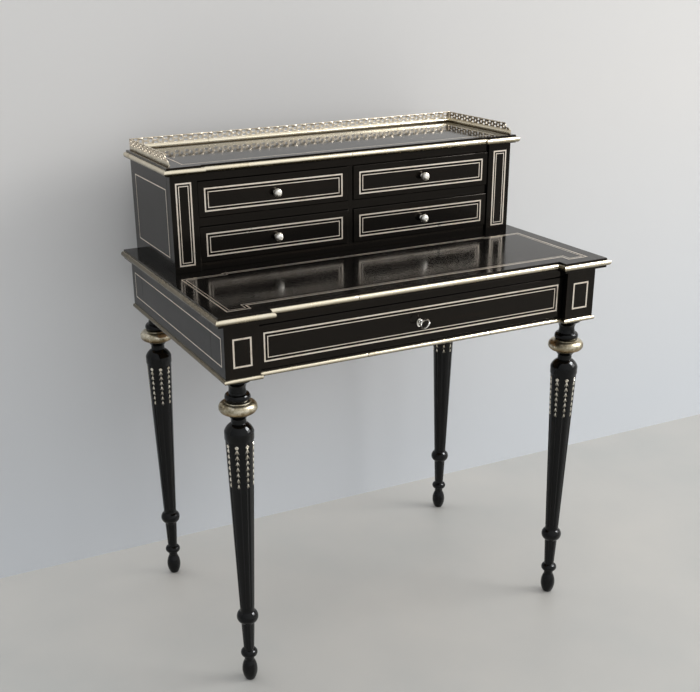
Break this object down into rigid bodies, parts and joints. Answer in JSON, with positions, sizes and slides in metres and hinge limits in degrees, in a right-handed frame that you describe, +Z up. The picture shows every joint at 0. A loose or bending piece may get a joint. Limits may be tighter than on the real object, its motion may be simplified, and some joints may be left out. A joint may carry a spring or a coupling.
{
  "type": "lady's writing desk with a raised drawer cabinet",
  "caption": "Black polished writing table on turned fluted legs, with a long lockable drawer and, along the back, a low cabinet of small drawers inside a pierced brass gallery.",
  "frame": {"origin": "on the floor, under the middle of the table's overall outline", "axes": "+X to the sitter's right, +Y to the back where the cabinet stands, +Z up"},
  "size_m": [0.8, 0.5314, 0.957],
  "materials": {
    "ebonised_wood": "black stained pearwood veneer under a french polish",
    "oak": "plain oak, planed and waxed",
    "gilt_brass": "cast brass, gilt and lacquered, a little tarnished",
    "brass_line": "flat brass line let in flush with the veneer",
    "lock_brass": "sheet brass, filed",
    "steel": "forged steel, worn bright"
  },
  "bodies": {
    "desk": {"leg_front_left": "ebonised_wood", "leg_front_right": "ebonised_wood", "leg_back_left": "ebonised_wood", "leg_back_right": "ebonised_wood", "leg_rings": "gilt_brass", "leg_husks": "gilt_brass", "corner_post_front_left": "ebonised_wood", "corner_post_front_right": "ebonised_wood", "corner_post_back_left": "ebonised_wood", "corner_post_back_right": "ebonised_wood", "apron_left": "ebonised_wood", "apron_right": "ebonised_wood", "apron_back": "ebonised_wood", "front_rail_upper": "ebonised_wood", "front_rail_lower": "ebonised_wood", "drawer_runners": "oak", "apron_bead": "gilt_brass", "frame_stringing": "brass_line", "table_top": "ebonised_wood", "table_top_moulding": "gilt_brass", "table_top_stringing": "brass_line", "cabinet_floor": "ebonised_wood", "cabinet_side_left": "ebonised_wood", "cabinet_side_right": "ebonised_wood", "pilaster_left": "ebonised_wood", "pilaster_right": "ebonised_wood", "cabinet_back": "ebonised_wood", "cabinet_divider": "ebonised_wood", "cabinet_shelves": "ebonised_wood", "cabinet_rail_upper": "ebonised_wood", "cabinet_drawer_guides": "oak", "cabinet_top": "ebonised_wood", "cabinet_top_moulding": "gilt_brass", "cabinet_stringing": "brass_line", "gallery_back": "gilt_brass", "gallery_sides": "gilt_brass"},
    "long_drawer": {"long_drawer_front": "ebonised_wood", "long_drawer_box": "oak", "long_drawer_bottom": "oak", "long_drawer_stringing": "brass_line", "lock_case": "lock_brass", "escutcheon": "gilt_brass"},
    "lock_bolt": {"lock_bolt": "steel"},
    "key": {"key": "steel"},
    "small_drawer_upper_left": {"small_drawer_upper_left_front": "ebonised_wood", "small_drawer_upper_left_box": "oak", "small_drawer_upper_left_stringing": "brass_line", "small_drawer_upper_left_knob": "gilt_brass"},
    "small_drawer_upper_right": {"small_drawer_upper_right_front": "ebonised_wood", "small_drawer_upper_right_box": "oak", "small_drawer_upper_right_stringing": "brass_line", "small_drawer_upper_right_knob": "gilt_brass"},
    "small_drawer_lower_left": {"small_drawer_lower_left_front": "ebonised_wood", "small_drawer_lower_left_box": "oak", "small_drawer_lower_left_stringing": "brass_line", "small_drawer_lower_left_knob": "gilt_brass"},
    "small_drawer_lower_right": {"small_drawer_lower_right_front": "ebonised_wood", "small_drawer_lower_right_box": "oak", "small_drawer_lower_right_stringing": "brass_line", "small_drawer_lower_right_knob": "gilt_brass"}
  },
  "joints": [
    {"name": "long_drawer_slide", "type": "slide", "parent": "desk", "child": "long_drawer", "axis": [0, -1, 0], "range_m": [0, 0.28]},
    {"name": "small_drawer_upper_left_slide", "type": "slide", "parent": "desk", "child": "small_drawer_upper_left", "axis": [0, -1, 0], "range_m": [0, 0.15]},
    {"name": "small_drawer_upper_right_slide", "type": "slide", "parent": "desk", "child": "small_drawer_upper_right", "axis": [0, -1, 0], "range_m": [0, 0.15]},
    {"name": "small_drawer_lower_left_slide", "type": "slide", "parent": "desk", "child": "small_drawer_lower_left", "axis": [0, -1, 0], "range_m": [0, 0.15]},
    {"name": "small_drawer_lower_right_slide", "type": "slide", "parent": "desk", "child": "small_drawer_lower_right", "axis": [0, -1, 0], "range_m": [0, 0.15]},
    {"name": "key_turn", "type": "hinge", "parent": "long_drawer", "child": "key", "pos_m": [0, -0.23375, 0.6681], "axis": [0, 1, 0], "range_deg": [-40, 320]},
    {"name": "bolt_throw", "type": "slide", "parent": "long_drawer", "child": "lock_bolt", "axis": [0, 0, 1], "range_m": [-0.00087, 0.00698]}
  ],
  "couplings": [
    {"joint": "key_turn", "follows": "bolt_throw", "rad_per_m": 800}
  ]
}
